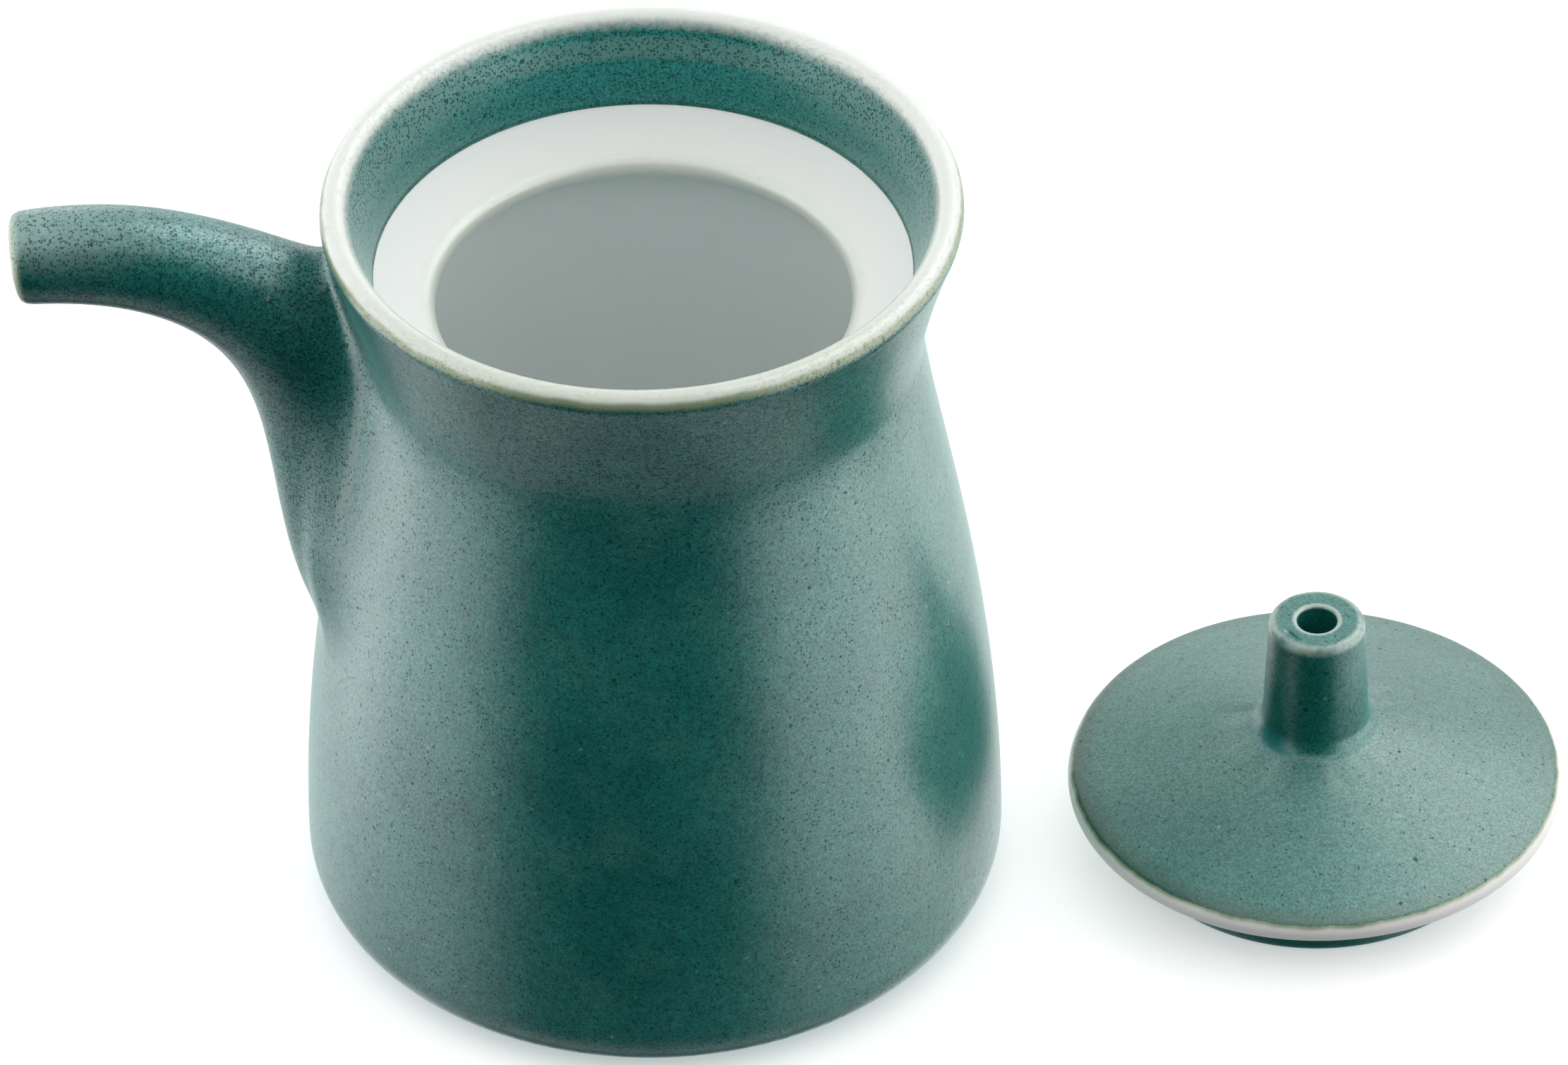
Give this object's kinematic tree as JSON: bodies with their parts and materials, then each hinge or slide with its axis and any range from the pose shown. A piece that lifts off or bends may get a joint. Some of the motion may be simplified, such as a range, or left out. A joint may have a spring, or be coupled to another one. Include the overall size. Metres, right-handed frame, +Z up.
{
  "type": "soy sauce pourer",
  "caption": "Small glazed porcelain pourer with a flared rim, a curved horn-shaped spout, and a loose conical lid with a hollow knob and air hole.",
  "frame": {"origin": "centre of the bottle's flat base, on the table", "axes": "+Z up along the bottle's axis, -X towards the spout, +X towards the lid lying beside the bottle"},
  "size_m": [0.1757, 0.08, 0.0965],
  "materials": {
    "body_glaze": "satin teal glaze, white unglazed seat, clear glaze inside",
    "spout_glaze": "satin teal glaze with fine dark specks",
    "lid_glaze": "satin teal glaze, white unglazed bevel",
    "knob_glaze": "satin teal glaze, paler where it thins at the edge"
  },
  "bodies": {
    "bottle": {"bottle_body": "body_glaze", "spout": "spout_glaze"},
    "lid": {"lid_disc": "lid_glaze", "lid_knob": "knob_glaze"}
  },
  "joints": [
    {"name": "lid_lift", "type": "slide", "parent": "bottle", "child": "lid", "axis": [0, 0, 1], "range_m": [0, 0.11]}
  ]
}
